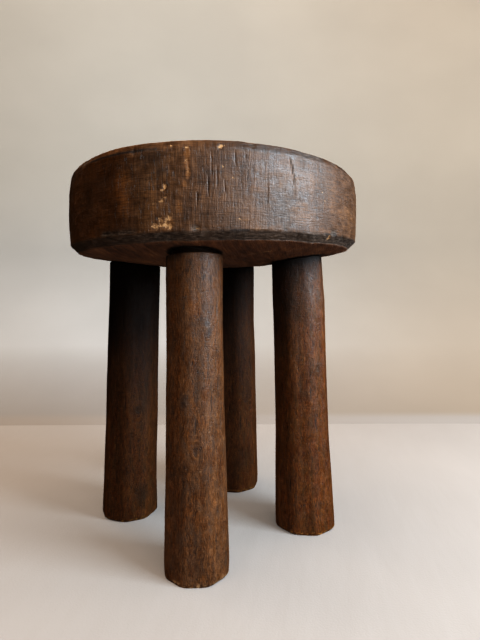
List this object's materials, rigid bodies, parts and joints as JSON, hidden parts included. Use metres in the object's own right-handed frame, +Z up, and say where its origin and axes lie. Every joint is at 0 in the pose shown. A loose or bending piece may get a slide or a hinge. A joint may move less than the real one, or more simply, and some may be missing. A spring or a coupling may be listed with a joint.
{
  "type": "milking stool",
  "caption": "Low round wooden stool with a thick hand-hewn seat on stout splayed legs, each socketed through the seat and wedged.",
  "frame": {"origin": "on the floor plane under the middle of the seat", "axes": "+Z up out of the seat, +X to the sitter's right seen from the front leg, +Y from the front leg towards the back leg, along the seat's grain"},
  "size_m": [0.2832, 0.2817, 0.3526],
  "materials": {
    "seat_wood": "dark hand-rubbed patina, satin",
    "leg_wood": "warm brown hand-rubbed patina, satin",
    "wedge_wood": "worn end grain, dull"
  },
  "bodies": {
    "root": {"seat": "seat_wood", "leg_front": "leg_wood", "leg_left": "leg_wood", "leg_right": "leg_wood", "leg_back": "leg_wood", "wedge_front": "wedge_wood", "wedge_left": "wedge_wood", "wedge_right": "wedge_wood", "wedge_back": "wedge_wood"}
  },
  "joints": []
}
